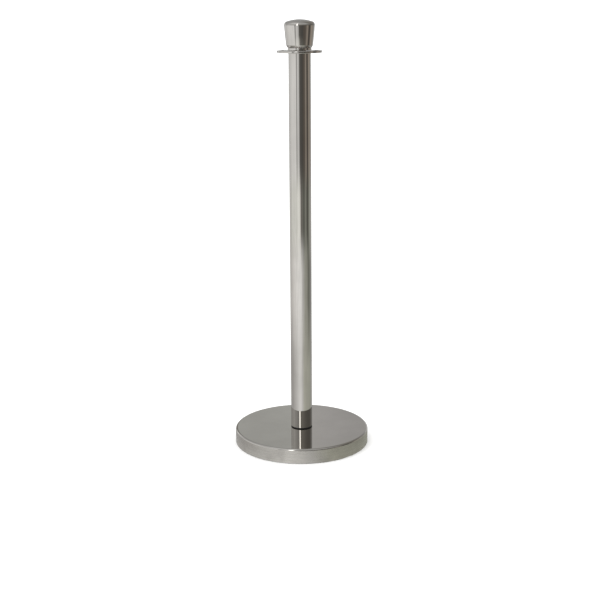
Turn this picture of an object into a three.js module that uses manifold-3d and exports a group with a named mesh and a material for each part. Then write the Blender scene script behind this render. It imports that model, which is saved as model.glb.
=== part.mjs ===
// Crown-top rope stanchion: a weighted disc base, a plain polished tube, a rope ring that
// swivels on a bush, and a hollow crown that screws onto a stud above it.
// Millimetres, +Z up, origin on the floor under the axis of the post.
import * as THREE from 'three';
import { mergeVertices } from 'three/addons/utils/BufferGeometryUtils.js';
import Module from 'manifold-3d';

const wasm = await Module();
wasm.setup();

// Overall sizes
const totalHeight = 998;
const sheetThickness = 1;
const slipFit = 0.1;
const looseFit = 0.25;
const cutMargin = 1;
const circleSegments = 48;
const smallSegments = 24;
const boreSegments = 12;
const arcSteps = 2;
const slotArcSteps = 4;

// Base
const baseRadius = 160;
const baseHeight = 36;
const baseEdgeRadius = 5;
const skirtGap = 1;
const coverHoleRadius = 20;
const floorRing = { inner: 139, outer: 155, height: 4, lipChamfer: 1 };
const weight = {
  boreRadius: 6.5,
  hubRadius: 38,
  hubBottom: 20,
  webBottom: 23,
  webTop: 33,
  rimInner: 134,
  rimOuter: 158,
  rimPadInner: 140,
  rimChamfer: 6,
  draft: 2,
};
const rib = { count: 4, thickness: 8, bottom: 12, overlap: 3 };
const coverPad = { count: 3, radius: 18, circle: 90, chamfer: 0.25 };

// Post
const tubeRadius = 25.4;
const tubeWall = 1.2;
const gasket = { inner: 21, outer: 25.3, thickness: 2.5 };
const footPlug = { height: 12, spigotRadius: 19.5 };
const footStud = { radius: 6, length: 53, bottom: 3, chamfer: 1 };
const clampWasher = { bore: 6.5, outer: 18, thickness: 3, edge: 0.5 };
const springWasher = { inner: 6.25, outer: 10.5, thickness: 2.5, gapDegrees: 12, arcSegments: 20 };
const footNut = { acrossFlats: 19, height: 10 };
const locatingPin = { radius: 3, circle: 13, bottom: 27, top: 44, chamfer: 0.5 };

// Head, stacked on the tube's top end
const headHeight = 74.5;
const topPlugHeight = 20;
const headStud = { radius: 5, below: 32, above: 24.5, chamfer: 0.75 };
const lockNut = { acrossFlats: 17, height: 8 };
const ringBush = { radius: 14, height: 6.5 };
const ringWasher = { outer: 24.5, thickness: 0.75 };
const ropeRing = { radius: 51, bottomGap: 1, thickness: 5, edge: 1, bore: 14.1 };
const slot = { count: 4, inner: 34, outer: 44, halfAngle: 24 };
const neckCollar = { radius: 26.8, height: 5.5, edge: 0.5 };
const crownWasher = { outer: 20, thickness: 1 };
const crown = {
  lipGap: 0.5,
  bottomRadius: 27.3,
  chamferRadius: 30.3,
  chamferHeight: 4.8,
  shoulderRadius: 34.5,
  shoulderDrop: 13.5,
  bulgeDrop: 20,
  domeRadius: 90,
  domeEdge: 27,
};
const crownInsert = { flange: 25.8, flangeTop: 28.7, flangeHeight: 4, bossRadius: 13, height: 16 };

// Heights worked out from the sizes above
const tubeBottom = baseHeight + gasket.thickness;
const tubeTop = totalHeight - headHeight;
const coverInside = baseHeight - sheetThickness;
const bushTop = tubeTop + ringBush.height;
const collarTop = bushTop + neckCollar.height;
const crownBottom = collarTop + crown.lipGap;
const insertBottom = collarTop + crownWasher.thickness;
const clampWasherBottom = weight.hubBottom - clampWasher.thickness;
const springWasherBottom = clampWasherBottom - springWasher.thickness;
const footNutBottom = springWasherBottom - footNut.height;
const topPlugBottom = tubeTop - topPlugHeight;
const lockNutBottom = topPlugBottom - lockNut.height;

const finishes = {
  polishedStainless: { color: 0xc9cacb, roughness: 0.06, metalness: 1 },
  castIron: { color: 0x35363a, roughness: 0.75, metalness: 0.4 },
  blackRubber: { color: 0x151516, roughness: 0.85, metalness: 0 },
  greyFoam: { color: 0x4a4b4d, roughness: 0.95, metalness: 0 },
  zincSteel: { color: 0xa9acb0, roughness: 0.38, metalness: 1 },
  brass: { color: 0xb08d4a, roughness: 0.35, metalness: 1 },
  whiteNylon: { color: 0xe4e2da, roughness: 0.55, metalness: 0 },
};

const stanchion = new THREE.Group();

// Adds one named piece in its own material
function addPiece(name, geometry, finish) {
  const mesh = new THREE.Mesh(geometry, new THREE.MeshStandardMaterial(finishes[finish]));
  mesh.name = name;
  stanchion.add(mesh);
  return mesh;
}

// A solid turned about Z from (radius, height) points
function turned(section, segments = circleSegments) {
  const geometry = new THREE.LatheGeometry(section, segments);
  geometry.rotateX(Math.PI / 2);
  return geometry;
}

function points(...pairs) {
  return pairs.map(([radius, height]) => new THREE.Vector2(radius, height));
}

// A washer, tube or collar with a small chamfer on its outer edges
function turnedRing(inner, outer, bottom, top, chamfer = 0, segments = circleSegments) {
  if (chamfer === 0) {
    const section = points([inner, bottom], [outer, bottom], [outer, top], [inner, top], [inner, bottom]);
    return turned(section, segments);
  }
  const section = points(
    [inner, bottom],
    [outer - chamfer, bottom],
    [outer, bottom + chamfer],
    [outer, top - chamfer],
    [outer - chamfer, top],
    [inner, top],
    [inner, bottom],
  );
  return turned(section, segments);
}

// A plain rod with chamfered ends
function turnedRod(radius, bottom, top, chamfer, segments = smallSegments) {
  const section = points(
    [0, bottom],
    [radius - chamfer, bottom],
    [radius, bottom + chamfer],
    [radius, top - chamfer],
    [radius - chamfer, top],
    [0, top],
  );
  return turned(section, segments);
}

// A flat outline raised from one height to another
function raised(outline, bottom, height, options = {}) {
  const settings = { depth: height, bevelEnabled: false, curveSegments: boreSegments, ...options };
  return new THREE.ExtrudeGeometry(outline, settings).translate(0, 0, bottom);
}

function hexNut(acrossFlats, boreRadius, bottom, height) {
  const outline = new THREE.Shape();
  const cornerRadius = acrossFlats / Math.sqrt(3);
  for (let corner = 0; corner < 6; corner += 1) {
    const angle = (corner * Math.PI) / 3;
    const x = cornerRadius * Math.cos(angle);
    const y = cornerRadius * Math.sin(angle);
    if (corner === 0) {
      outline.moveTo(x, y);
    } else {
      outline.lineTo(x, y);
    }
  }
  outline.closePath();
  const bore = new THREE.Path();
  bore.absarc(0, 0, boreRadius, 0, Math.PI * 2, true);
  outline.holes.push(bore);
  return raised(outline, bottom, height);
}

// Geometry to a solid that can be cut and joined, and back
function toSolid(geometry) {
  const bare = geometry.clone();
  bare.deleteAttribute('normal');
  bare.deleteAttribute('uv');
  const merged = mergeVertices(bare, 1e-4);
  const vertProperties = new Float32Array(merged.attributes.position.array);
  const triVerts = new Uint32Array(merged.index.array);
  return new wasm.Manifold(new wasm.Mesh({ numProp: 3, vertProperties, triVerts }));
}

function toGeometry(solid) {
  const { vertProperties, triVerts } = solid.getMesh();
  const geometry = new THREE.BufferGeometry();
  geometry.setAttribute('position', new THREE.BufferAttribute(vertProperties, 3));
  geometry.setIndex(new THREE.BufferAttribute(triVerts, 1));
  return geometry;
}

// The rod that clears the locating pin's hole
function pinHole() {
  const rod = new THREE.CylinderGeometry(
    locatingPin.radius + slipFit,
    locatingPin.radius + slipFit,
    locatingPin.top - locatingPin.bottom + 2 * cutMargin,
    smallSegments,
  );
  rod.rotateX(Math.PI / 2);
  rod.translate(locatingPin.circle, 0, (locatingPin.top + locatingPin.bottom) / 2);
  return toSolid(rod);
}

// Rubber ring bonded under the weight's rim, the only thing that touches the floor
function makeFloorRing() {
  const { inner, outer, height, lipChamfer } = floorRing;
  const section = points(
    [inner + lipChamfer, 0],
    [outer - lipChamfer, 0],
    [outer, lipChamfer],
    [outer, height],
    [inner, height],
    [inner, lipChamfer],
    [inner + lipChamfer, 0],
  );
  addPiece('floor_ring', turned(section), 'blackRubber');
}

// Cast weight: a hub and a rim that carry the cover, a web between them and ribs underneath
function makeBaseWeight() {
  const { boreRadius, hubRadius, hubBottom, webBottom, webTop } = weight;
  const { rimInner, rimOuter, rimPadInner, rimChamfer, draft } = weight;
  const section = points(
    [boreRadius, hubBottom],
    [hubRadius, hubBottom],
    [hubRadius + draft, webBottom],
    [rimInner - draft, webBottom],
    [rimInner, floorRing.height],
    [rimOuter, floorRing.height],
    [rimOuter, coverInside - rimChamfer],
    [rimOuter - rimChamfer, coverInside],
    [rimPadInner, coverInside],
    [rimPadInner - draft, webTop],
    [hubRadius + draft, webTop],
    [hubRadius, coverInside],
    [boreRadius, coverInside],
    [boreRadius, hubBottom],
  );
  let casting = toSolid(turned(section));
  const ribLength = rimInner - hubRadius + 2 * rib.overlap;
  const ribHeight = webBottom - rib.bottom + rib.overlap;
  for (let index = 0; index < rib.count; index += 1) {
    const bar = new THREE.BoxGeometry(ribLength, rib.thickness, ribHeight);
    bar.translate((rimInner + hubRadius) / 2, 0, rib.bottom + ribHeight / 2);
    bar.rotateZ((index * Math.PI * 2) / rib.count);
    casting = casting.add(toSolid(bar));
  }
  addPiece('base_weight', toGeometry(casting.subtract(pinHole())), 'castIron');
}

// Pressed cover over the weight, open underneath, with a rounded top edge
function coverOutline(inset) {
  const outline = new THREE.Path();
  const corner = baseRadius - baseEdgeRadius;
  outline.absarc(corner, baseHeight - baseEdgeRadius, baseEdgeRadius - inset, 0, Math.PI / 2, false);
  return outline.getPoints(arcSteps);
}

function makeBaseCover() {
  const section = [
    ...points([baseRadius - sheetThickness, skirtGap], [baseRadius, skirtGap]),
    ...coverOutline(0),
    ...points([coverHoleRadius, baseHeight], [coverHoleRadius, coverInside]),
    ...coverOutline(sheetThickness).reverse(),
    ...points([baseRadius - sheetThickness, skirtGap]),
  ];
  addPiece('base_cover', turned(section), 'polishedStainless');
}

// Foam discs that stop the cover from drumming on the weight
function makeCoverPads() {
  for (let index = 0; index < coverPad.count; index += 1) {
    const angle = (index * Math.PI * 2) / coverPad.count + Math.PI / 6;
    const disc = turnedRod(coverPad.radius, weight.webTop, coverInside, coverPad.chamfer);
    const pad = addPiece(`cover_pad_${index + 1}`, disc, 'greyFoam');
    pad.position.set(coverPad.circle * Math.cos(angle), coverPad.circle * Math.sin(angle), 0);
  }
}

// Plug in the tube's foot, with a spigot that seats on the weight's hub
function makeFootPlug() {
  const bore = footStud.radius + slipFit;
  const outer = tubeRadius - tubeWall - slipFit;
  const section = points(
    [bore, coverInside],
    [footPlug.spigotRadius, coverInside],
    [footPlug.spigotRadius, tubeBottom],
    [outer, tubeBottom],
    [outer, tubeBottom + footPlug.height],
    [bore, tubeBottom + footPlug.height],
    [bore, coverInside],
  );
  const plug = toSolid(turned(section)).subtract(pinHole());
  addPiece('foot_plug', toGeometry(plug), 'zincSteel');
}

// Stud, washers and nut that pull the post down onto the base, and the pin that stops it turning
function makeFootFixings() {
  const { radius, bottom, length, chamfer } = footStud;
  addPiece('foot_stud', turnedRod(radius, bottom, bottom + length, chamfer), 'zincSteel');
  const { bore, outer, edge } = clampWasher;
  const washer = turnedRing(bore, outer, clampWasherBottom, weight.hubBottom, edge, smallSegments);
  addPiece('clamp_washer', washer, 'zincSteel');
  addPiece('spring_washer', makeSpringWasher(), 'zincSteel');
  const nut = hexNut(footNut.acrossFlats, radius + slipFit, footNutBottom, footNut.height);
  addPiece('foot_nut', nut, 'zincSteel');
  const pin = locatingPin;
  const rod = turnedRod(pin.radius, pin.bottom, pin.top, pin.chamfer);
  addPiece('locating_pin', rod, 'zincSteel').position.set(pin.circle, 0, 0);
}

// A washer split at one place
function makeSpringWasher() {
  const { inner, outer, thickness, gapDegrees, arcSegments } = springWasher;
  const halfGap = THREE.MathUtils.degToRad(gapDegrees / 2);
  const outline = new THREE.Shape();
  outline.absarc(0, 0, outer, halfGap, Math.PI * 2 - halfGap, false);
  outline.absarc(0, 0, inner, Math.PI * 2 - halfGap, halfGap, true);
  outline.closePath();
  return raised(outline, springWasherBottom, thickness, { curveSegments: arcSegments });
}

function makePost() {
  const { inner, outer } = gasket;
  addPiece('foot_gasket', turnedRing(inner, outer, baseHeight, tubeBottom), 'blackRubber');
  const tube = turnedRing(tubeRadius - tubeWall, tubeRadius, tubeBottom, tubeTop);
  addPiece('post_tube', tube, 'polishedStainless');
}

// Plug in the tube's top end with the crown's stud through it and a lock nut underneath
function makeHeadFixings() {
  const bore = headStud.radius + slipFit;
  const plugRadius = tubeRadius - tubeWall - slipFit;
  addPiece('top_plug', turnedRing(bore, plugRadius, topPlugBottom, tubeTop), 'zincSteel');
  const { radius, below, above, chamfer } = headStud;
  addPiece('head_stud', turnedRod(radius, tubeTop - below, tubeTop + above, chamfer), 'zincSteel');
  const nut = hexNut(lockNut.acrossFlats, bore, lockNutBottom, lockNut.height);
  addPiece('stud_lock_nut', nut, 'zincSteel');
}

// Kidney-shaped slot through the rope ring, centred on one angle
function slotPath(middle) {
  const half = THREE.MathUtils.degToRad(slot.halfAngle);
  const centre = (slot.inner + slot.outer) / 2;
  const endRadius = (slot.outer - slot.inner) / 2;
  const start = middle - half;
  const end = middle + half;
  const path = new THREE.Path();
  path.absarc(0, 0, slot.outer, start, end, false);
  path.absarc(centre * Math.cos(end), centre * Math.sin(end), endRadius, end, end + Math.PI, false);
  path.absarc(0, 0, slot.inner, end, start, true);
  path.absarc(
    centre * Math.cos(start),
    centre * Math.sin(start),
    endRadius,
    start + Math.PI,
    start + Math.PI * 2,
    false,
  );
  return path;
}

// Rope ring: a turned plate with a rounded rim, cut with a slot for each rope hook
function makeRopeRing() {
  const bottom = tubeTop + ropeRing.bottomGap;
  const top = bottom + ropeRing.thickness;
  const plate = turnedRing(ropeRing.bore, ropeRing.radius, bottom, top, ropeRing.edge);
  let ring = toSolid(plate);
  for (let index = 0; index < slot.count; index += 1) {
    const path = slotPath((index * Math.PI * 2) / slot.count);
    const outline = new THREE.Shape(path.getPoints(slotArcSteps));
    const cutHeight = ropeRing.thickness + 2 * cutMargin;
    ring = ring.subtract(toSolid(raised(outline, bottom - cutMargin, cutHeight)));
  }
  addPiece('rope_ring', toGeometry(ring), 'polishedStainless');
}

// The bush that the ring swivels on, the washer under the ring and the collar above it
function makeRingBearing() {
  const bore = headStud.radius + looseFit;
  addPiece('ring_bush', turnedRing(bore, ringBush.radius, tubeTop, bushTop), 'brass');
  const washerTop = tubeTop + ringWasher.thickness;
  const washer = turnedRing(ringBush.radius + looseFit, ringWasher.outer, tubeTop, washerTop);
  addPiece('ring_washer', washer, 'whiteNylon');
  const collar = turnedRing(bore, neckCollar.radius, bushTop, collarTop, neckCollar.edge);
  addPiece('neck_collar', collar, 'polishedStainless');
}

// Outline of the crown from the top of its dome down to its lip, moved inwards by inset: a dome,
// a shoulder curve, a wall that bulges a little as it narrows, and a chamfered lip
function crownOutline(inset) {
  const { bottomRadius, chamferRadius, chamferHeight, shoulderRadius, shoulderDrop } = crown;
  const radius = crown.domeRadius - inset;
  const domeCentre = totalHeight - crown.domeRadius;
  const edgeTilt = Math.asin(crown.domeEdge / crown.domeRadius);
  const wall = shoulderRadius - inset;
  const edgeHeight = domeCentre + radius * Math.cos(edgeTilt);
  const cornerHeight = edgeHeight - (wall - radius * Math.sin(edgeTilt)) * Math.tan(edgeTilt);
  const outline = new THREE.Path();
  outline.absarc(0, domeCentre, radius, Math.PI / 2, Math.PI / 2 - edgeTilt, true);
  outline.quadraticCurveTo(wall, cornerHeight, wall, totalHeight - shoulderDrop - inset);
  outline.quadraticCurveTo(
    wall,
    totalHeight - crown.bulgeDrop,
    chamferRadius - inset,
    crownBottom + chamferHeight,
  );
  outline.lineTo(bottomRadius - inset, crownBottom);
  return outline.getPoints(arcSteps);
}

// Spun crown: a hollow shell with a domed top and an open foot
function makeCrownShell() {
  const outside = crownOutline(0);
  const inside = crownOutline(sheetThickness).reverse();
  outside[0].x = 0;
  inside[inside.length - 1].x = 0;
  addPiece('crown_shell', turned([...outside, ...inside].reverse()), 'polishedStainless');
}

// Threaded insert in the crown's foot and the captive washer that it turns on
function makeCrownFixings() {
  const { flange, flangeTop, flangeHeight, bossRadius, height } = crownInsert;
  const bore = headStud.radius + looseFit;
  const section = points(
    [bore, insertBottom],
    [flange, insertBottom],
    [flangeTop, insertBottom + flangeHeight],
    [bossRadius, insertBottom + flangeHeight],
    [bossRadius, insertBottom + height],
    [bore, insertBottom + height],
    [bore, insertBottom],
  );
  addPiece('crown_insert', turned(section), 'zincSteel');
  const washer = turnedRing(bore, crownWasher.outer, collarTop, insertBottom);
  addPiece('crown_washer', washer, 'whiteNylon');
}

makeFloorRing();
makeBaseWeight();
makeCoverPads();
makeBaseCover();
makeFootPlug();
makeFootFixings();
makePost();
makeHeadFixings();
makeRingBearing();
makeRopeRing();
makeCrownFixings();
makeCrownShell();

export default stanchion;
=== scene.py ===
import math

import bmesh
import bpy
from mathutils import Matrix, Vector


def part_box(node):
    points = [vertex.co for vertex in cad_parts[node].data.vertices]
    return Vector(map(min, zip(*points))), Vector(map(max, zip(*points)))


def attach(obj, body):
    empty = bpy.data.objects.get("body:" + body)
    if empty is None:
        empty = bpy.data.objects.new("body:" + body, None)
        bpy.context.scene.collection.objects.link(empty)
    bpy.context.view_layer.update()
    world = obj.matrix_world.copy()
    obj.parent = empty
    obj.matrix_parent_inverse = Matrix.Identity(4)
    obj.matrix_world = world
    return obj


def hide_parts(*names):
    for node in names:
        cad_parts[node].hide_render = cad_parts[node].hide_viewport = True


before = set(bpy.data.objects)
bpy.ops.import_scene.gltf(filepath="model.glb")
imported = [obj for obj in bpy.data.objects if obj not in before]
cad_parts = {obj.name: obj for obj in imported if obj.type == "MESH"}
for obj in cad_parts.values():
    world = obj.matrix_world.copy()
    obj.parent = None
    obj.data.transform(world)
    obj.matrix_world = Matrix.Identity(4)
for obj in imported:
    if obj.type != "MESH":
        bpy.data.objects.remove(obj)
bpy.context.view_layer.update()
millimetre = 0.001
weldDistance = 1e-7
print("stanchion: frame loaded")


# Colours are sRGB hex values
def toLinear(hexColour):
    channels = [int(hexColour[i:i + 2], 16) / 255 for i in (1, 3, 5)]
    linear = [c / 12.92 if c <= 0.04045 else ((c + 0.055) / 1.055) ** 2.4 for c in channels]
    return (*linear, 1.0)


# Adds a node with its settings, then its values and links by socket name or number
def addNode(tree, kind, inputs=None, stops=None, **settings):
    node = tree.nodes.new(kind)
    for name, value in settings.items():
        setattr(node, name, value)
    for socket, value in (inputs or {}).items():
        if isinstance(value, bpy.types.NodeSocket):
            tree.links.new(value, node.inputs[socket])
        else:
            node.inputs[socket].default_value = value
    if stops:
        ramp = node.color_ramp.elements
        ramp[0].position, ramp[0].color = stops[0]
        ramp[1].position, ramp[1].color = stops[-1]
        for place, colour in stops[1:-1]:
            ramp.new(place).color = colour
    return node


# A new material whose shader has the given constants on its own sockets
def newMaterial(name, constants):
    material = bpy.data.materials.new(name)
    material.use_nodes = True
    tree = material.node_tree
    tree.nodes.clear()
    shader = addNode(tree, "ShaderNodeBsdfPrincipled", constants)
    addNode(tree, "ShaderNodeOutputMaterial", {"Surface": shader.outputs[0]})
    return material, tree, shader


# Links values to the shader's sockets by name
def feed(tree, shader, sockets):
    for socket, value in sockets.items():
        tree.links.new(value, shader.inputs[socket])


# Noise whose grain is a real size in millimetres
def grain(tree, sizeMm, detail=2.0):
    where = addNode(tree, "ShaderNodeTexCoord").outputs["Object"]
    size = sizeMm * millimetre
    noise = addNode(tree, "ShaderNodeTexNoise", {"Vector": where, "Scale": 1 / size, "Detail": detail})
    return noise.outputs["Fac"]


# Stretches a value's range to low and high
def between(tree, value, low, high, fromLow=0.3, fromHigh=0.7):
    node = addNode(tree, "ShaderNodeMapRange", {
        "Value": value, "From Min": fromLow, "From Max": fromHigh, "To Min": low, "To Max": high})
    return node.outputs["Result"]


# Turns a value into a colour between two hex tones
def tones(tree, value, dark, light, fromLow=0.35, fromHigh=0.65):
    stops = [(fromLow, toLinear(dark)), (fromHigh, toLinear(light))]
    return addNode(tree, "ShaderNodeValToRGB", {"Fac": value}, stops=stops).outputs["Color"]


# Bump of a real depth in millimetres, on top of another bump if one is given
def bump(tree, height, depthMm, strength=1.0, under=None):
    inputs = {"Height": height, "Distance": depthMm * millimetre, "Strength": strength}
    if under:
        inputs["Normal"] = under
    return addNode(tree, "ShaderNodeBump", inputs).outputs["Normal"]


# Lines that run round the post's axis, as turning and polishing leave them: they change along
# radius plus height, so they ring both walls and flat faces, and they wander by drift spacings
def turningLines(tree, spacingMm, drift=0.4):
    wanderMm = 111.1
    where = addNode(tree, "ShaderNodeTexCoord").outputs["Object"]
    parts = addNode(tree, "ShaderNodeSeparateXYZ", {"Vector": where}).outputs
    flat = addNode(tree, "ShaderNodeCombineXYZ", {"X": parts["X"], "Y": parts["Y"]}).outputs[0]
    radius = addNode(tree, "ShaderNodeVectorMath", {0: flat}, operation="LENGTH").outputs["Value"]
    along = addNode(tree, "ShaderNodeMath", {0: radius, 1: parts["Z"]}, operation="ADD").outputs[0]
    wander = grain(tree, wanderMm, 1.0)
    spacing = spacingMm * millimetre
    drifted = addNode(tree, "ShaderNodeMath", {
        0: wander, 1: drift * spacing, 2: along}, operation="MULTIPLY_ADD").outputs[0]
    lines = addNode(tree, "ShaderNodeTexNoise", {
        "W": drifted, "Scale": 1 / spacing, "Detail": 3.0}, noise_dimensions="1D")
    return lines.outputs["Fac"]


# Stainless steel, mirror polished: a near-perfect mirror, a little warm, with faint wipe marks
def mirrorPolishedStainless():
    material, tree, shader = newMaterial("mirrorPolishedStainless", {"Metallic": 1.0})
    wipe = grain(tree, 55, 4.0)
    lines = turningLines(tree, 0.5)
    smear = addNode(tree, "ShaderNodeMath", {0: wipe, 1: lines}, operation="MULTIPLY").outputs[0]
    colour = tones(tree, wipe, "#CBC8C3", "#D1CEC9")
    rough = between(tree, smear, 0.02, 0.06, fromLow=0.15, fromHigh=0.4)
    sheetWave = bump(tree, grain(tree, 70, 0.0), depthMm=0.012, strength=0.5)
    normal = bump(tree, lines, depthMm=0.0006, strength=0.5, under=sheetWave)
    feed(tree, shader, {"Base Color": colour, "Roughness": rough, "Normal": normal})
    return material


# Stainless steel, satin brushed round the side: reflections smear upright, with fine level lines.
# Brush lines are really 0.1 to 0.2 mm apart; drawn at 1.1 mm so that they show
def satinBrushedStainless():
    material, tree, shader = newMaterial("satinBrushedStainless", {
        "Metallic": 1.0, "Anisotropic": 0.85, "Anisotropic Rotation": 0.25})
    lines = turningLines(tree, 1.1, drift=1.0)
    cloud = grain(tree, 40, 3.0)
    both = addNode(tree, "ShaderNodeMath", {0: lines, 1: cloud}, operation="ADD").outputs[0]
    colour = tones(tree, both, "#A9A6A0", "#BEBBB5", fromLow=0.8, fromHigh=1.2)
    rough = between(tree, both, 0.2, 0.3, fromLow=0.7, fromHigh=1.3)
    normal = bump(tree, lines, depthMm=0.004, strength=0.5)
    tangent = addNode(tree, "ShaderNodeTangent", direction_type="RADIAL", axis="Z").outputs[0]
    feed(tree, shader, {"Base Color": colour, "Roughness": rough, "Normal": normal, "Tangent": tangent})
    return material


# Grey cast iron, sand cast and dipped in black paint: pitted skin, dull, thin paint on the high
# spots. Moulding sand is about 0.4 mm; drawn at 2 mm so that it shows
def sandCastIron():
    material, tree, shader = newMaterial("sandCastIron", {"Specular IOR Level": 0.45})
    sand = grain(tree, 2.0, 4.0)
    lumps = grain(tree, 16, 2.0)
    colour = tones(tree, sand, "#222325", "#4A4A4A", fromLow=0.32, fromHigh=0.7)
    rough = between(tree, sand, 0.45, 0.8)
    metal = between(tree, sand, 0.0, 0.5, fromLow=0.6, fromHigh=0.75)
    skin = bump(tree, lumps, depthMm=0.8, strength=0.7)
    normal = bump(tree, sand, depthMm=0.45, under=skin)
    feed(tree, shader, {"Base Color": colour, "Roughness": rough, "Metallic": metal, "Normal": normal})
    return material


# Black nitrile rubber, compression moulded: dull, a soft sheen and a fine mould grain
def mouldedRubber():
    material, tree, shader = newMaterial("mouldedRubber", {
        "Specular IOR Level": 0.35, "Sheen Weight": 0.05})
    fine = grain(tree, 0.5, 3.0)
    dust = grain(tree, 12, 3.0)
    colour = tones(tree, dust, "#0E0E0F", "#1C1C1D")
    rough = between(tree, fine, 0.6, 0.85)
    normal = bump(tree, fine, depthMm=0.04, strength=0.8)
    feed(tree, shader, {"Base Color": colour, "Roughness": rough, "Normal": normal})
    return material


# Polyethylene foam, closed cell and die cut: matt grey with open bubbles on its skin
def closedCellFoam():
    material, tree, shader = newMaterial("closedCellFoam", {"Roughness": 0.9, "Specular IOR Level": 0.3})
    where = addNode(tree, "ShaderNodeTexCoord").outputs["Object"]
    cellSize = 0.9 * millimetre
    cells = addNode(tree, "ShaderNodeTexVoronoi", {"Vector": where, "Scale": 1 / cellSize})
    bubble = cells.outputs["Distance"]
    # The grey darkens into each bubble pit where the bump sinks: painted shade in the pits
    colour = tones(tree, bubble, "#3C3D3F", "#5A5B5D", fromLow=0.1, fromHigh=0.7)
    normal = bump(tree, bubble, depthMm=0.25, strength=0.8)
    feed(tree, shader, {"Base Color": colour, "Normal": normal})
    return material


# Mild steel, turned and zinc plated: bluish grey, half bright, tool lines under the plate
def zincPlatedSteel():
    material, tree, shader = newMaterial("zincPlatedSteel", {"Metallic": 1.0})
    lines = turningLines(tree, 0.25)
    bloom = grain(tree, 5, 4.0)
    colour = tones(tree, bloom, "#9DA1A8", "#B9BCC0")
    rough = between(tree, bloom, 0.24, 0.42)
    normal = bump(tree, lines, depthMm=0.006, strength=0.8)
    feed(tree, shader, {"Base Color": colour, "Roughness": rough, "Normal": normal})
    return material


# Free-cutting brass, turned: yellow metal, bright tool rings, slightly dulled
def turnedBrass():
    material, tree, shader = newMaterial("turnedBrass", {"Metallic": 1.0})
    lines = turningLines(tree, 0.2)
    tarnish = grain(tree, 8, 3.0)
    colour = tones(tree, tarnish, "#A8823A", "#C9A552")
    rough = between(tree, tarnish, 0.18, 0.34)
    normal = bump(tree, lines, depthMm=0.006, strength=0.9)
    feed(tree, shader, {"Base Color": colour, "Roughness": rough, "Normal": normal})
    return material


# Nylon 6, injection moulded: milky white, half matt, a little light gets into it
def mouldedNylon():
    material, tree, shader = newMaterial("mouldedNylon", {
        "IOR": 1.53, "Subsurface Weight": 0.2, "Subsurface Scale": 0.001})
    cloud = grain(tree, 6, 3.0)
    fine = grain(tree, 0.3, 2.0)
    colour = tones(tree, cloud, "#DDD8CA", "#ECE9E0")
    rough = between(tree, fine, 0.4, 0.58)
    normal = bump(tree, fine, depthMm=0.01, strength=0.8)
    feed(tree, shader, {"Base Color": colour, "Roughness": rough, "Normal": normal})
    return material


mirror = mirrorPolishedStainless()
satin = satinBrushedStainless()
castIron = sandCastIron()
rubber = mouldedRubber()
foam = closedCellFoam()
zinc = zincPlatedSteel()
brass = turnedBrass()
nylon = mouldedNylon()
print("stanchion: materials made")


# Radius, bottom and top of a CAD node on the post's axis, in millimetres
def reach(node):
    low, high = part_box(node)
    return tuple(value / millimetre for value in (high.x, low.z, high.z))


# An outline of (radius, height, rounding) corners in millimetres, with each corner rounded
def roundedOutline(corners, closed=True, stepDegrees=9):
    count = len(corners)
    outline = []
    for index, corner in enumerate(corners):
        point = Vector(corner[:2])
        rounding = corner[2] if len(corner) > 2 else 0
        if rounding == 0 or (not closed and index in (0, count - 1)):
            outline.append(point)
            continue
        before = (Vector(corners[index - 1][:2]) - point).normalized()
        after = (Vector(corners[(index + 1) % count][:2]) - point).normalized()
        half = before.angle(after) / 2
        centre = point + (before + after).normalized() * rounding / math.sin(half)
        reachAlong = rounding / math.tan(half)
        start = point + before * reachAlong - centre
        end = point + after * reachAlong - centre
        turn = math.pi - 2 * half
        steps = max(2, math.ceil(math.degrees(turn) / stepDegrees))
        for step in range(steps + 1):
            share = step / steps
            mixed = (math.sin((1 - share) * turn) * start + math.sin(share * turn) * end) / math.sin(turn)
            outline.append(centre + mixed)
    return outline


# Turns an outline in millimetres round the post's axis into a mesh in metres; a sweep short of a
# full turn gets flat ends
def spinMesh(name, outline, closed=True, segments=192, sweep=math.tau):
    mesh = bpy.data.meshes.new(name)
    form = bmesh.new()
    section = [form.verts.new((across * millimetre, 0, up * millimetre)) for across, up in outline]
    pairs = list(zip(section, section[1:]))
    if closed:
        pairs.append((section[-1], section[0]))
    edges = [form.edges.new(pair) for pair in pairs]
    whole = sweep == math.tau
    bmesh.ops.spin(form, geom=section + edges, cent=(0, 0, 0), axis=(0, 0, 1), angle=sweep,
                   steps=segments, use_merge=whole)
    bmesh.ops.remove_doubles(form, verts=form.verts, dist=weldDistance)
    if not whole:
        bmesh.ops.holes_fill(form, edges=[edge for edge in form.edges if edge.is_boundary])
    bmesh.ops.recalc_face_normals(form, faces=form.faces)
    form.to_mesh(mesh)
    form.free()
    return mesh


# Links a mesh as a finished piece: material, smooth faces, body, and hides the node it stands for
def finishPiece(mesh, materials, body, node, smoothDegrees=35):
    piece = bpy.data.objects.new(mesh.name, mesh)
    bpy.context.scene.collection.objects.link(piece)
    mesh.materials.clear()
    for material in materials:
        mesh.materials.append(material)
    mesh.shade_smooth()
    mesh.set_sharp_from_angle(angle=math.radians(smoothDegrees))
    weighted = piece.modifiers.new("evenShading", "WEIGHTED_NORMAL")
    weighted.keep_sharp = True
    weighted.weight = 100  # large faces lead the shading
    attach(piece, body)
    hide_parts(node)


# A finished piece turned from rounded corners
def spinPiece(name, corners, material, body, node, segments=192):
    mesh = spinMesh(name, roundedOutline(corners), segments=segments)
    finishPiece(mesh, [material], body, node)


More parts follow.
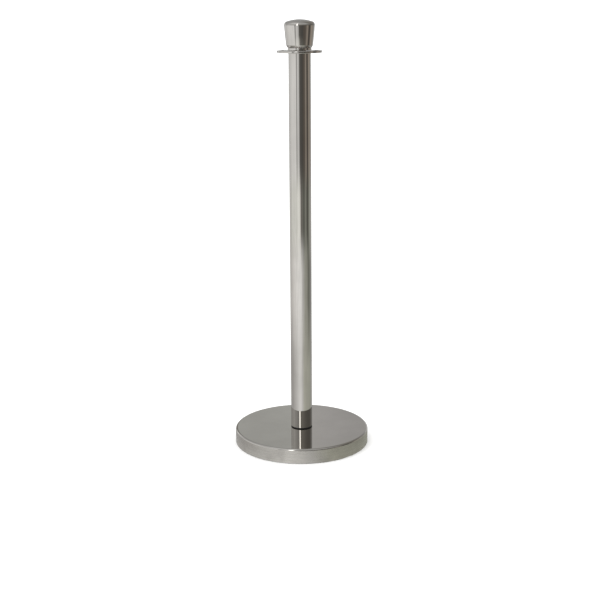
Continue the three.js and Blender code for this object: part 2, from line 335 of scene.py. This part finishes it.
# Bakes one boolean between two meshes into a new mesh
def carve(target, tool, operation):
    targetObject = bpy.data.objects.new("carveTarget", target)
    toolObject = bpy.data.objects.new("carveTool", tool)
    for part in (targetObject, toolObject):
        bpy.context.scene.collection.objects.link(part)
    cut = targetObject.modifiers.new("carve", "BOOLEAN")
    cut.object = toolObject
    cut.operation = operation
    cut.solver = "EXACT"
    view = bpy.context.evaluated_depsgraph_get()
    result = bpy.data.meshes.new_from_object(targetObject.evaluated_get(view))
    result.name = target.name + "Cut"
    for part in (targetObject, toolObject):
        bpy.data.objects.remove(part)
    return result


# Base: pressed cover, mirror on top and round the edge, satin down the side
# satinTop is how far below the top the satin starts; stepDegrees is how finely corners are rounded
cover = {"sheet": 1.0, "topEdge": 5.0, "skirtEdge": 0.45, "hole": 20.0, "holeEdge": 0.3, "satinTop": 4.2,
         "segments": 320, "stepDegrees": 6}


def makeBaseCover():
    radius, bottom, top = reach("base_cover")
    sheet = cover["sheet"]
    corners = [
        (radius, bottom, cover["skirtEdge"]),
        (radius, top, cover["topEdge"]),
        (cover["hole"], top, cover["holeEdge"]),
        (cover["hole"], top - sheet, cover["holeEdge"]),
        (radius - sheet, top - sheet, cover["topEdge"] - sheet),
        (radius - sheet, bottom, cover["skirtEdge"]),
    ]
    outline = roundedOutline(corners, stepDegrees=cover["stepDegrees"])
    mesh = spinMesh("baseCover", outline, segments=cover["segments"])
    finishPiece(mesh, [mirror, satin], "post", "base_cover")
    sideFrom = (top - cover["satinTop"]) * millimetre
    outside = (radius - sheet / 2) * millimetre
    for face in mesh.polygons:
        middle = face.center
        if middle.z < sideFrom and Vector(middle[:2]).length > outside:
            face.material_index = 1


# Cast weight: turned body with a hub and a rim, four drafted ribs underneath
weight = {
    "bore": 6.5, "hub": 38.0, "hubBottom": 20.0, "webBottom": 23.0, "webTop": 33.0,
    "rimInner": 134.0, "rimPad": 140.0, "rimChamfer": 6.0, "draft": 2.0,
    "hubRound": 2.0, "webRound": 3.0, "rimRound": 1.5, "chamferRound": 1.0, "boreRound": 0.8,
    "padRound": 0.5, "segments": 160, "stepDegrees": 15,
    "ribs": 4, "ribWide": 8.0, "ribNarrow": 5.0, "ribBottom": 12.0, "ribRound": 1.5,
    "ribEndOverlap": 2.0, "ribTopOverlap": 3.0,
}


# One rib along X, narrower at its lower edge, which is rounded
def ribMesh():
    inner = weight["hub"] - weight["ribEndOverlap"]
    outer = weight["rimInner"] + weight["ribEndOverlap"]
    bottom = weight["ribBottom"]
    top = weight["webBottom"] + weight["ribTopOverlap"]
    mesh = bpy.data.meshes.new("rib")
    form = bmesh.new()
    for z, half in ((bottom, weight["ribNarrow"] / 2), (top, weight["ribWide"] / 2)):
        for x, side in ((inner, -1), (outer, -1), (outer, 1), (inner, 1)):
            form.verts.new(Vector((x, side * half, z)) * millimetre)
    corners = list(form.verts)
    form.faces.new(corners[:4])
    form.faces.new(corners[4:])
    for index in range(4):
        after = (index + 1) % 4
        form.faces.new((corners[index], corners[after], corners[after + 4], corners[index + 4]))
    bmesh.ops.recalc_face_normals(form, faces=form.faces)
    middle = (bottom + top) / 2 * millimetre
    lowEdges = [edge for edge in form.edges if all(corner.co.z < middle for corner in edge.verts)]
    bmesh.ops.bevel(form, geom=lowEdges, offset=weight["ribRound"] * millimetre, segments=4, profile=0.5,
                    affect="EDGES")
    form.to_mesh(mesh)
    form.free()
    return mesh


def makeBaseWeight():
    radius, bottom, top = reach("base_weight")
    bore, hub, rimInner = weight["bore"], weight["hub"], weight["rimInner"]
    draft, chamfer = weight["draft"], weight["rimChamfer"]
    corners = [
        (bore, weight["hubBottom"], weight["boreRound"]),
        (hub, weight["hubBottom"], weight["hubRound"]),
        (hub + draft, weight["webBottom"], weight["boreRound"]),
        (rimInner - draft, weight["webBottom"], weight["webRound"]),
        (rimInner, bottom, weight["rimRound"]),
        (radius, bottom, weight["rimRound"]),
        (radius, top - chamfer, weight["chamferRound"]),
        (radius - chamfer, top, weight["chamferRound"]),
        (weight["rimPad"], top, weight["padRound"]),
        (weight["rimPad"] - draft, weight["webTop"], weight["padRound"]),
        (hub + draft, weight["webTop"], weight["padRound"]),
        (hub, top, weight["padRound"]),
        (bore, top, weight["padRound"]),
    ]
    outline = roundedOutline(corners, stepDegrees=weight["stepDegrees"])
    casting = spinMesh("baseWeight", outline, segments=weight["segments"])
    for index in range(weight["ribs"]):
        rib = ribMesh()
        rib.transform(Matrix.Rotation(index * math.tau / weight["ribs"], 4, "Z"))
        casting = carve(casting, rib, "UNION")
    casting.name = "baseWeight"
    finishPiece(casting, [castIron], "post", "base_weight")


# Rubber ring on the floor: five grip grooves run round its underside
floorRing = {"inner": 139.0, "lipRound": 0.8, "topRound": 0.3, "grooves": 5, "grooveDeep": 0.8,
             "grooveWide": 1.6, "grooveFloor": 0.6, "grooveRound": 0.3, "grooveFloorRound": 0.15}


def makeFloorRing():
    radius, bottom, top = reach("floor_ring")
    inner = floorRing["inner"]
    corners = [(inner, top, floorRing["topRound"]), (inner, bottom, floorRing["lipRound"])]
    spacing = (radius - inner) / (floorRing["grooves"] + 1)
    half = floorRing["grooveWide"] / 2
    floorHalf = half * floorRing["grooveFloor"]
    grooveTop = bottom + floorRing["grooveDeep"]
    for index in range(floorRing["grooves"]):
        middle = inner + spacing * (index + 1)
        corners += [
            (middle - half, bottom, floorRing["grooveRound"]),
            (middle - floorHalf, grooveTop, floorRing["grooveFloorRound"]),
            (middle + floorHalf, grooveTop, floorRing["grooveFloorRound"]),
            (middle + half, bottom, floorRing["grooveRound"]),
        ]
    corners += [(radius, bottom, floorRing["lipRound"]), (radius, top, floorRing["topRound"])]
    spinPiece("floorRing", corners, rubber, "post", "floor_ring")


# Post: plain tube with broken edges, on a thin gasket that squeezes out a little
tube = {"wall": 1.2, "edge": 0.35, "segments": 256}
gasket = {"inner": 21.0, "innerEdge": 0.2, "outerEdge": 0.7}


def makePost():
    radius, bottom, top = reach("post_tube")
    inner = radius - tube["wall"]
    edge = tube["edge"]
    corners = [(inner, bottom, edge), (radius, bottom, edge), (radius, top, edge), (inner, top, edge)]
    spinPiece("postTube", corners, mirror, "post", "post_tube", tube["segments"])
    radius, bottom, top = reach("foot_gasket")
    corners = [
        (gasket["inner"], bottom, gasket["innerEdge"]),
        (radius, bottom, gasket["outerEdge"]),
        (radius, top, gasket["outerEdge"]),
        (gasket["inner"], top, gasket["innerEdge"]),
    ]
    spinPiece("footGasket", corners, rubber, "post", "foot_gasket")


# Small turned parts: bore radius and edge rounding for each; the rest comes from the frame
turnedParts = {
    "topPlug": {
        "node": "top_plug", "bore": 5.1, "edge": 0.6, "finish": zinc, "slot": "zinc_steel", "body": "post"},
    "ringBush": {
        "node": "ring_bush", "bore": 5.25, "edge": 0.5, "finish": brass, "slot": "brass", "body": "post"},
    "ringWasher": {
        "node": "ring_washer", "bore": 14.25, "edge": 0.25, "finish": nylon, "slot": "nylon",
        "body": "post"},
    "neckCollar": {
        "node": "neck_collar", "bore": 5.25, "edge": 0.6, "finish": mirror, "slot": "polished_stainless",
        "body": "post"},
    "clampWasher": {
        "node": "clamp_washer", "bore": 6.5, "edge": 0.5, "finish": zinc, "slot": "zinc_steel",
        "body": "post"},
    "crownWasher": {
        "node": "crown_washer", "bore": 5.25, "edge": 0.3, "finish": nylon, "slot": "nylon",
        "body": "crown_carrier"},
}


def makeTurnedParts():
    for name, part in turnedParts.items():
        radius, bottom, top = reach(part["node"])
        bore, edge = part["bore"], part["edge"]
        corners = [(bore, bottom, edge), (radius, bottom, edge), (radius, top, edge), (bore, top, edge)]
        spinPiece(name, corners, part["finish"], part["body"], part["node"])


# Foam discs between cover and weight
coverPads = {"count": 3, "edge": 0.4, "segments": 64}


def makeCoverPads():
    edge = coverPads["edge"]
    for number in range(1, coverPads["count"] + 1):
        low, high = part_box(f"cover_pad_{number}")
        middle = (low + high) / 2
        radius = (high.x - low.x) / 2 / millimetre
        bottom, top = low.z / millimetre, high.z / millimetre
        corners = [(0, bottom), (radius, bottom, edge), (radius, top, edge), (0, top)]
        outline = roundedOutline(corners, closed=False)
        mesh = spinMesh(f"coverPad{number}", outline, closed=False, segments=coverPads["segments"])
        mesh.transform(Matrix.Translation((middle.x, middle.y, 0)))
        finishPiece(mesh, [foam], "post", f"cover_pad_{number}")


# Threaded rod: one helical height field, with the thread fading into a chamfer at both ends.
# depth is in pitches; steep and crest shape the flanks and the flat between them
thread = {"depth": 0.61, "steep": 1.4, "crest": 0.2, "chamfer": 1.2, "around": 48, "perPitch": 8}


def threadedMesh(name, radius, pitch, bottom, top):
    around = thread["around"]
    depth = thread["depth"] * pitch
    rows = round((top - bottom) / pitch * thread["perPitch"])
    mesh = bpy.data.meshes.new(name)
    form = bmesh.new()
    grid = []
    for row in range(rows + 1):
        height = bottom + (top - bottom) * row / rows
        fromEnd = min(height - bottom, top - height)
        limit = radius - depth * max(0.0, 1 - fromEnd / thread["chamfer"])
        ringVerts = []
        for column in range(around):
            turn = column / around
            phase = (height / pitch - turn) % 1.0
            flank = min(1.0, max(0.0, abs(2 * phase - 1) * thread["steep"] - thread["crest"]))
            reached = min(limit, radius - depth * flank)
            angle = turn * math.tau
            point = Vector((reached * math.cos(angle), reached * math.sin(angle), height))
            ringVerts.append(form.verts.new(point * millimetre))
        grid.append(ringVerts)
    for low, high in zip(grid, grid[1:]):
        for column in range(around):
            after = (column + 1) % around
            form.faces.new((low[column], low[after], high[after], high[column]))
    form.faces.new(grid[0])
    form.faces.new(grid[-1])
    bmesh.ops.recalc_face_normals(form, faces=form.faces)
    form.to_mesh(mesh)
    form.free()
    return mesh


# Hexagon nut: prism cut by a cone at both ends, with a countersunk bore
nut = {"chamferFrom": 0.97, "chamferDegrees": 30, "cornerRoom": 0.2, "countersink": 0.6, "drillRoom": 1.0,
       "segments": 96}


def hexagonMesh(name, corner, bottom, top):
    mesh = bpy.data.meshes.new(name)
    form = bmesh.new()
    base = []
    for index in range(6):
        angle = index * math.tau / 6
        point = Vector((corner * math.cos(angle), corner * math.sin(angle), bottom))
        base.append(form.verts.new(point * millimetre))
    face = form.faces.new(base)
    raised = bmesh.ops.extrude_face_region(form, geom=[face])
    lifted = [item for item in raised["geom"] if isinstance(item, bmesh.types.BMVert)]
    bmesh.ops.translate(form, verts=lifted, vec=(0, 0, (top - bottom) * millimetre))
    bmesh.ops.recalc_face_normals(form, faces=form.faces)
    form.to_mesh(mesh)
    form.free()
    return mesh


def nutMesh(name, acrossFlats, bore, bottom, top):
    corner = acrossFlats / math.sqrt(3)
    mesh = hexagonMesh(name + "Hex", corner, bottom, top)
    flat = acrossFlats / 2 * nut["chamferFrom"]
    outer = corner + nut["cornerRoom"]
    slope = (outer - flat) * math.tan(math.radians(nut["chamferDegrees"]))
    cone = [(0, bottom), (flat, bottom), (outer, bottom + slope), (outer, top - slope), (flat, top),
            (0, top)]
    coneMesh = spinMesh("nutCone", [Vector(point) for point in cone], False, nut["segments"])
    mesh = carve(mesh, coneMesh, "INTERSECT")
    sink, room = nut["countersink"], nut["drillRoom"]
    wide = bore + sink + room
    drill = [(0, bottom - room), (wide, bottom - room), (bore, bottom + sink), (bore, top - sink),
             (wide, top + room), (0, top + room)]
    drillMesh = spinMesh("nutDrill", [Vector(point) for point in drill], False, nut["segments"])
    mesh = carve(mesh, drillMesh, "DIFFERENCE")
    mesh.name = name
    return mesh


# Studs, nuts and the split washer: radii, widths across flats and thread pitches
studs = {
    "footStud": {"node": "foot_stud", "pitch": 1.75},
    "headStud": {"node": "head_stud", "pitch": 1.5},
}
nuts = {
    "footNut": {"node": "foot_nut", "flats": 19.0, "bore": 6.1},
    "studLockNut": {"node": "stud_lock_nut", "flats": 17.0, "bore": 5.1},
}
splitWasher = {"inner": 6.25, "edge": 0.3, "gapDegrees": 12.0, "segments": 96}


def makeFixings():
    for name, stud in studs.items():
        radius, bottom, top = reach(stud["node"])
        mesh = threadedMesh(name, radius, stud["pitch"], bottom, top)
        finishPiece(mesh, [zinc], "post", stud["node"])
    for name, size in nuts.items():
        bottom, top = reach(size["node"])[1:]
        mesh = nutMesh(name, size["flats"], size["bore"], bottom, top)
        finishPiece(mesh, [zinc], "post", size["node"], smoothDegrees=25)


# The washer is split at +X, so its radius is taken from its other side
def makeSplitWasher():
    low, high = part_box("spring_washer")
    inner, outer = splitWasher["inner"], -low.x / millimetre
    bottom, top = low.z / millimetre, high.z / millimetre
    edge = splitWasher["edge"]
    corners = [(inner, bottom, edge), (outer, bottom, edge), (outer, top, edge), (inner, top, edge)]
    gap = math.radians(splitWasher["gapDegrees"])
    sweep = math.tau - gap
    mesh = spinMesh("springWasher", roundedOutline(corners), True, splitWasher["segments"], sweep)
    mesh.transform(Matrix.Rotation(gap / 2, 4, "Z"))
    finishPiece(mesh, [zinc], "post", "spring_washer")


# Rope ring: flat plate with rounded rims and four kidney slots
ring = {
    "bore": 14.1, "edge": 1.0, "edgeSteps": 4, "rimSteps": 256, "boreSteps": 128,
    "slots": 4, "slotInner": 34.0, "slotOuter": 44.0, "slotHalfDegrees": 24.0,
    "slotOuterSteps": 40, "slotInnerSteps": 30, "slotEndSteps": 20, "weld": 1e-6,
}


def arcPoints(centre, radius, fromAngle, toAngle, steps):
    points = []
    for step in range(steps + 1):
        angle = fromAngle + (toAngle - fromAngle) * step / steps
        points.append((centre[0] + radius * math.cos(angle), centre[1] + radius * math.sin(angle)))
    return points


# Kidney slot centred on one angle, with round ends
def slotPoints(middle):
    half = math.radians(ring["slotHalfDegrees"])
    inner, outer = ring["slotInner"], ring["slotOuter"]
    centreLine, end = (inner + outer) / 2, (outer - inner) / 2
    start, stop = middle - half, middle + half
    startEnd = (centreLine * math.cos(start), centreLine * math.sin(start))
    stopEnd = (centreLine * math.cos(stop), centreLine * math.sin(stop))
    endSteps = ring["slotEndSteps"]
    points = arcPoints((0, 0), outer, stop, start, ring["slotOuterSteps"])
    points += arcPoints(startEnd, end, start, start - math.pi, endSteps)[1:-1]
    points += arcPoints((0, 0), inner, start, stop, ring["slotInnerSteps"])
    points += arcPoints(stopEnd, end, stop + math.pi, stop, endSteps)[1:-1]
    return points


# A filled 2D curve gives the plate, its holes and its round edges in one piece
def ringCurve(radius, thickness):
    edge = ring["edge"]
    outlines = [
        arcPoints((0, 0), radius, 0, math.tau, ring["rimSteps"])[:-1],
        arcPoints((0, 0), ring["bore"], 0, -math.tau, ring["boreSteps"])[:-1],
    ]
    for index in range(ring["slots"]):
        outlines.append(slotPoints(index * math.tau / ring["slots"]))
    curve = bpy.data.curves.new("ropeRingOutline", "CURVE")
    curve.dimensions = "2D"
    curve.fill_mode = "BOTH"
    curve.extrude = (thickness / 2 - edge) * millimetre
    curve.bevel_depth = edge * millimetre
    curve.bevel_resolution = ring["edgeSteps"]
    curve.offset = -edge * millimetre
    for outline in outlines:
        spline = curve.splines.new("POLY")
        spline.points.add(len(outline) - 1)
        spline.use_cyclic_u = True
        for point, (x, y) in zip(spline.points, outline):
            point.co = (x * millimetre, y * millimetre, 0, 1)
    return curve


def makeRopeRing():
    radius, bottom, top = reach("rope_ring")
    holder = bpy.data.objects.new("ropeRingOutline", ringCurve(radius, top - bottom))
    bpy.context.scene.collection.objects.link(holder)
    view = bpy.context.evaluated_depsgraph_get()
    mesh = bpy.data.meshes.new_from_object(holder.evaluated_get(view))
    bpy.data.objects.remove(holder)
    mesh.name = "ropeRing"
    mesh.transform(Matrix.Translation((0, 0, (bottom + top) / 2 * millimetre)))
    form = bmesh.new()
    form.from_mesh(mesh)
    bmesh.ops.remove_doubles(form, verts=form.verts, dist=ring["weld"])
    bmesh.ops.recalc_face_normals(form, faces=form.faces)
    form.to_mesh(mesh)
    form.free()
    finishPiece(mesh, [mirror], "ring", "rope_ring")


# Crown: spun shell with a low dome, a round shoulder, a wall that bulges a little as it narrows
# towards the foot, and a chamfered lip
crown = {
    "sheet": 1.0, "lipRadius": 27.3, "chamferRadius": 30.3, "chamferHeight": 4.8, "chamferRound": 2.0,
    "wallRadius": 34.5, "wallDrop": 13.5, "bulgeDrop": 20.0, "shoulderRound": 8.5,
    "domeRadius": 90.0, "domeEdge": 27.0, "steps": 10, "stepDegrees": 4, "segments": 256,
}


# The crown's outline from lip to top, moved inwards by inset
def crownWall(inset):
    bottom, top = reach("crown_shell")[1:]
    steps = crown["steps"]
    dome = crown["domeRadius"] - inset
    centre = top - crown["domeRadius"]
    tilt = math.asin(crown["domeEdge"] / crown["domeRadius"])
    domeEdge = Vector((dome * math.sin(tilt), centre + dome * math.cos(tilt)))
    wall = crown["wallRadius"] - inset
    shoulder = domeEdge + Vector((1, -math.tan(tilt))) * (wall - domeEdge.x)
    foot = Vector((crown["chamferRadius"] - inset, bottom + crown["chamferHeight"]))
    bulge = Vector((wall, top - crown["bulgeDrop"]))
    wallTop = Vector((wall, top - crown["wallDrop"]))
    corners = [(crown["lipRadius"] - inset, bottom), (*foot, crown["chamferRound"])]
    for step in range(2, steps + 1):
        share = step / steps
        point = (1 - share) ** 2 * foot + 2 * share * (1 - share) * bulge + share ** 2 * wallTop
        corners.append(tuple(point))
    corners += [(*shoulder, crown["shoulderRound"] - inset), tuple(domeEdge)]
    outline = roundedOutline(corners, closed=False, stepDegrees=crown["stepDegrees"])
    for step in range(1, steps + 1):
        angle = tilt * (1 - step / steps)
        outline.append(Vector((dome * math.sin(angle), centre + dome * math.cos(angle))))
    return outline


# Threaded boss in the crown's foot, with a flange that flares out to the shell
insert = {"bore": 5.25, "foot": 25.8, "flange": 4.0, "boss": 13.0, "edge": 0.6, "rimEdge": 0.3}


def makeCrown():
    outline = crownWall(0) + crownWall(crown["sheet"])[::-1]
    mesh = spinMesh("crownShell", outline, segments=crown["segments"])
    finishPiece(mesh, [mirror], "crown", "crown_shell")
    radius, bottom, top = reach("crown_insert")
    bore, boss, edge = insert["bore"], insert["boss"], insert["edge"]
    flangeTop = bottom + insert["flange"]
    corners = [
        (bore, bottom, edge),
        (insert["foot"], bottom, edge),
        (radius, flangeTop, insert["rimEdge"]),
        (boss, flangeTop, edge),
        (boss, top, edge),
        (bore, top, edge),
    ]
    spinPiece("crownInsert", corners, zinc, "crown", "crown_insert")


# Hidden parts whose frame shape is right as it is
def finishHiddenParts():
    for nodeName in ("foot_plug", "locating_pin"):
        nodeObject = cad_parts[nodeName]
        nodeObject.data.materials.clear()
        nodeObject.data.materials.append(zinc)


makeBaseCover()
makeBaseWeight()
makeFloorRing()
makeCoverPads()
print("stanchion: base made")
makePost()
makeTurnedParts()
makeFixings()
makeSplitWasher()
finishHiddenParts()
print("stanchion: post and fixings made")
makeRopeRing()
makeCrown()
print("stanchion: ring and crown made")


# Set: pale floor, white surround, soft light from the left, and a room that only reflections see
floorSet = {"radius": 14000, "tones": ("#F8F8F7", "#FAFAF9"), "cloudMm": 400, "roughness": 0.9}


def makeFloor():
    outline = [Vector((0, 0)), Vector((floorSet["radius"], 0))]
    mesh = spinMesh("floor", outline, closed=False, segments=96)
    floor = bpy.data.objects.new("floor", mesh)
    bpy.context.scene.collection.objects.link(floor)
    material, tree, shader = newMaterial("paintedFloor", {
        "Roughness": floorSet["roughness"], "Specular IOR Level": 0.1})
    colour = tones(tree, grain(tree, floorSet["cloudMm"]), *floorSet["tones"])
    feed(tree, shader, {"Base Color": colour})
    mesh.materials.append(material)
    floor.visible_glossy = False


# Room: a round shell, sizes in metres, that glows differently in each direction and height.
# Each band is a list of (degrees to the right of the front, brightness, tint); fades gives the
# radius or height over which one band gives way to the next
tints = {
    "plain": (1.0, 1.0, 1.0),
    "dusk": (1.04, 1.0, 0.93),
    "brown": (1.12, 0.98, 0.85),
    "olive": (1.0, 1.015, 0.9),
    "green": (0.99, 1.0, 0.965),
    "rose": (1.015, 1.0, 0.99),
}
room = {
    "radius": 3.0,
    "wallTop": 1.9,
    "height": 4.0,
    "sunk": 0.002,
    "skirtRound": 0.005,
    "coveRound": 0.9,
    "clutterMm": 420,
    "clutter": (0.92, 1.08),
    "overhead": 0.42,
    "fades": {"farFloor": (0.5, 1.5), "lowWall": (1.9, 2.95), "wall": (0.12, 0.3), "upper": (0.86, 0.98),
              "above": (1.5, 2.2), "ceiling": (3.0, 3.6), "aroundOverhead": (0.1, 1.7)},
    "nearFloor": [
        (-180, 0.46, "rose"), (-104, 0.44, "rose"), (-88, 0.54, "rose"), (-75, 0.62, "rose"),
        (-40, 0.76, "plain"), (-14, 0.97, "plain"), (-2, 0.9, "plain"), (10, 0.7, "plain"),
        (30, 0.55, "olive"), (55, 0.47, "olive"), (100, 0.44, "olive"), (140, 0.44, "plain"),
        (180, 0.46, "plain")],
    "farFloor": [
        (-180, 0.6, "rose"), (-172, 0.58, "rose"), (-167, 0.38, "dusk"), (-153, 0.38, "dusk"),
        (-148, 0.62, "rose"), (-110, 0.7, "rose"), (-80, 0.88, "rose"), (-20, 1.05, "plain"),
        (2, 1.0, "plain"), (20, 0.64, "plain"), (45, 0.43, "olive"), (70, 0.37, "olive"),
        (85, 0.2, "olive"), (100, 0.24, "olive"), (135, 0.42, "plain"), (180, 0.6, "plain")],
    "lowWall": [
        (-180, 0.62, "green"), (-171, 0.6, "green"), (-168, 0.26, "dusk"), (-152, 0.24, "dusk"),
        (-149, 0.64, "green"), (-142, 0.66, "green"), (-140.5, 0.98, "plain"), (-135.5, 0.98, "plain"),
        (-134, 0.67, "green"), (-118, 0.68, "green"), (-98, 0.86, "green"), (-60, 0.92, "green"),
        (-36, 0.88, "green"), (-28, 1.06, "green"), (-8, 1.02, "green"), (2, 0.42, "dusk"),
        (8, 0.15, "dusk"), (15, 0.23, "dusk"), (22, 0.2, "olive"), (31, 0.14, "olive"),
        (39, 0.16, "olive"), (52, 0.26, "olive"), (61, 0.29, "olive"), (70, 0.12, "olive"),
        (81, 0.1, "olive"), (89, 0.2, "olive"), (97, 0.27, "olive"), (105, 0.38, "olive"),
        (135, 0.5, "plain"), (180, 0.62, "green")],
    "wall": [
        (-180, 0.62, "plain"), (-171, 0.6, "plain"), (-168, 0.2, "dusk"), (-152, 0.18, "dusk"),
        (-149, 0.64, "plain"), (-142, 0.66, "plain"), (-140.5, 0.98, "plain"), (-135.5, 0.98, "plain"),
        (-134, 0.67, "plain"), (-125, 0.68, "plain"), (-100, 0.86, "plain"), (-60, 0.92, "plain"),
        (-40.5, 0.95, "plain"), (-38.5, 0.38, "plain"), (-30.5, 0.4, "plain"), (-28.5, 0.84, "plain"),
        (-14, 0.72, "plain"), (-8, 0.5, "plain"), (-4, 0.13, "dusk"), (24, 0.09, "dusk"),
        (34, 0.11, "brown"), (50, 0.13, "brown"), (60, 0.3, "brown"), (67, 0.29, "brown"),
        (74, 0.08, "brown"), (85, 0.09, "dusk"), (93, 0.2, "brown"), (100, 0.36, "brown"),
        (130, 0.3, "dusk"), (145, 0.6, "plain"), (180, 0.62, "plain")],
    "upper": [
        (-180, 0.46, "green"), (-171, 0.46, "green"), (-168, 0.2, "dusk"), (-152, 0.2, "dusk"),
        (-149, 0.47, "plain"), (-142, 0.48, "plain"), (-140.5, 0.9, "plain"), (-135.5, 0.9, "plain"),
        (-134, 0.48, "plain"), (-120, 0.48, "plain"), (-90, 0.6, "plain"), (-45, 0.42, "plain"),
        (-24, 0.4, "plain"), (-22, 3.4, "plain"), (-15.5, 3.4, "plain"), (-13, 0.3, "dusk"),
        (50, 0.16, "dusk"), (100, 0.14, "dusk"), (140, 0.3, "plain"), (180, 0.46, "rose")],
    "above": [
        (-180, 0.38, "plain"), (-145, 0.38, "plain"), (-100, 0.5, "plain"), (-60, 0.75, "plain"),
        (-24, 0.78, "plain"), (-22, 1.5, "plain"), (-15.5, 1.5, "plain"), (-13, 0.6, "plain"),
        (20, 0.48, "plain"), (50, 0.48, "plain"), (65, 0.42, "plain"), (90, 0.22, "dusk"),
        (150, 0.28, "dusk"), (180, 0.38, "plain")],
    "ceiling": [
        (-180, 0.4, "plain"), (-140, 0.48, "plain"), (-90, 0.5, "plain"), (-10, 0.46, "plain"),
        (15, 0.38, "plain"), (40, 0.3, "dusk"), (80, 0.18, "dusk"), (155, 0.19, "dusk"),
        (180, 0.34, "plain")],
}


def roomGlow():
    material = bpy.data.materials.new("roomGlow")
    material.use_nodes = True
    tree = material.node_tree
    tree.nodes.clear()
    where = addNode(tree, "ShaderNodeTexCoord").outputs["Object"]
    parts = addNode(tree, "ShaderNodeSeparateXYZ", {"Vector": where}).outputs
    flat = addNode(tree, "ShaderNodeCombineXYZ", {"X": parts["X"], "Y": parts["Y"]}).outputs[0]
    radius = addNode(tree, "ShaderNodeVectorMath", {0: flat}, operation="LENGTH").outputs["Value"]
    towards = addNode(tree, "ShaderNodeMath", {0: parts["Y"], 1: -1.0}, operation="MULTIPLY").outputs[0]
    bearing = addNode(tree, "ShaderNodeMath", {0: parts["X"], 1: towards}, operation="ARCTAN2").outputs[0]
    share = between(tree, bearing, 0.0, 1.0, -math.pi, math.pi)

    def band(name):
        stops = []
        for degrees, glow, tint in room[name]:
            stops.append(((degrees + 180) / 360, (*(glow * part for part in tints[tint]), 1)))
        return addNode(tree, "ShaderNodeValToRGB", {"Fac": share}, stops=stops).outputs["Color"]

    def fade(first, second, value, fadeName):
        start, end = room["fades"][fadeName]
        amount = addNode(tree, "ShaderNodeMapRange", {
            "Value": value, "From Min": start, "From Max": end}, interpolation_type="SMOOTHSTEP")
        mixed = addNode(tree, "ShaderNodeMix", {
            0: amount.outputs["Result"], 6: first, 7: second}, data_type="RGBA")
        return mixed.outputs[2]

    overhead = fade((*(room["overhead"],) * 3, 1), band("ceiling"), radius, "aroundOverhead")
    glow = fade(band("nearFloor"), band("farFloor"), radius, "farFloor")
    glow = fade(glow, band("lowWall"), radius, "lowWall")
    for name in ("wall", "upper", "above"):
        glow = fade(glow, band(name), parts["Z"], name)
    glow = fade(glow, overhead, parts["Z"], "ceiling")
    clutter = between(tree, grain(tree, room["clutterMm"]), *room["clutter"])
    light = addNode(tree, "ShaderNodeEmission", {"Color": glow, "Strength": clutter})
    addNode(tree, "ShaderNodeOutputMaterial", {"Surface": light.outputs[0]})
    return material


def makeRoom():
    wide, floorLevel = room["radius"], -room["sunk"]
    corners = [
        (0, floorLevel),
        (wide, floorLevel, room["skirtRound"]),
        (wide, room["wallTop"], room["coveRound"]),
        (0, room["height"]),
    ]
    inMillimetres = [tuple(value / millimetre for value in corner) for corner in corners]
    outline = roundedOutline(inMillimetres, closed=False)
    mesh = spinMesh("roomForReflections", outline, closed=False, segments=128)
    mesh.materials.append(roomGlow())
    mesh.shade_smooth()
    shell = bpy.data.objects.new("roomForReflections", mesh)
    bpy.context.scene.collection.objects.link(shell)
    shell.visible_camera = False
    shell.visible_diffuse = False
    shell.visible_shadow = False
    shell.visible_transmission = False
    shell.visible_volume_scatter = False


surround = {"colour": (1, 1, 1, 1), "strength": 1.4}


def makeWorld():
    world = bpy.data.worlds.new("paleStudio")
    world.use_nodes = True
    tree = world.node_tree
    tree.nodes.clear()
    sky = addNode(tree, "ShaderNodeBackground", {
        "Color": surround["colour"], "Strength": surround["strength"]})
    addNode(tree, "ShaderNodeOutputWorld", {"Surface": sky.outputs[0]})
    bpy.context.scene.world = world
    bpy.context.scene.view_settings.view_transform = "Standard"


softBox = {"place": (-2.2, -1.6, 3.2), "aim": (0, 0, 0.3), "size": 2.4, "watts": 30.0}


def makeSoftBox():
    lamp = bpy.data.lights.new("softBox", "AREA")
    lamp.shape = "SQUARE"
    lamp.size = softBox["size"]
    lamp.energy = softBox["watts"]
    box = bpy.data.objects.new("softBox", lamp)
    box.location = softBox["place"]
    aim = Vector(softBox["aim"]) - Vector(softBox["place"])
    box.rotation_euler = aim.to_track_quat("-Z", "Y").to_euler()
    box.visible_glossy = False
    bpy.context.scene.collection.objects.link(box)


# Camera: level with the crown, looking down at the middle of the post, which stands just off
# upright; metres, degrees, and millimetres for the lens
eye = {"place": (-0.002, -2.6906, 1.0202), "turn": -0.0097, "down": 13.9713, "roll": -0.3292,
       "lens": 70.211, "sensor": 36, "farClip": 100}


def makeCamera():
    lens = bpy.data.cameras.new("camera")
    lens.sensor_width = eye["sensor"]
    lens.lens = eye["lens"]
    lens.clip_end = eye["farClip"]
    camera = bpy.data.objects.new("camera", lens)
    turn = Matrix.Rotation(math.radians(-eye["turn"]), 4, "Z")
    tilt = Matrix.Rotation(math.radians(90 - eye["down"]), 4, "X")
    roll = Matrix.Rotation(math.radians(eye["roll"]), 4, "Z")
    camera.matrix_world = Matrix.Translation(eye["place"]) @ turn @ tilt @ roll
    bpy.context.scene.collection.objects.link(camera)
    bpy.context.scene.camera = camera


makeFloor()
makeRoom()
makeWorld()
makeSoftBox()
makeCamera()
print("stanchion: set, light and camera made")
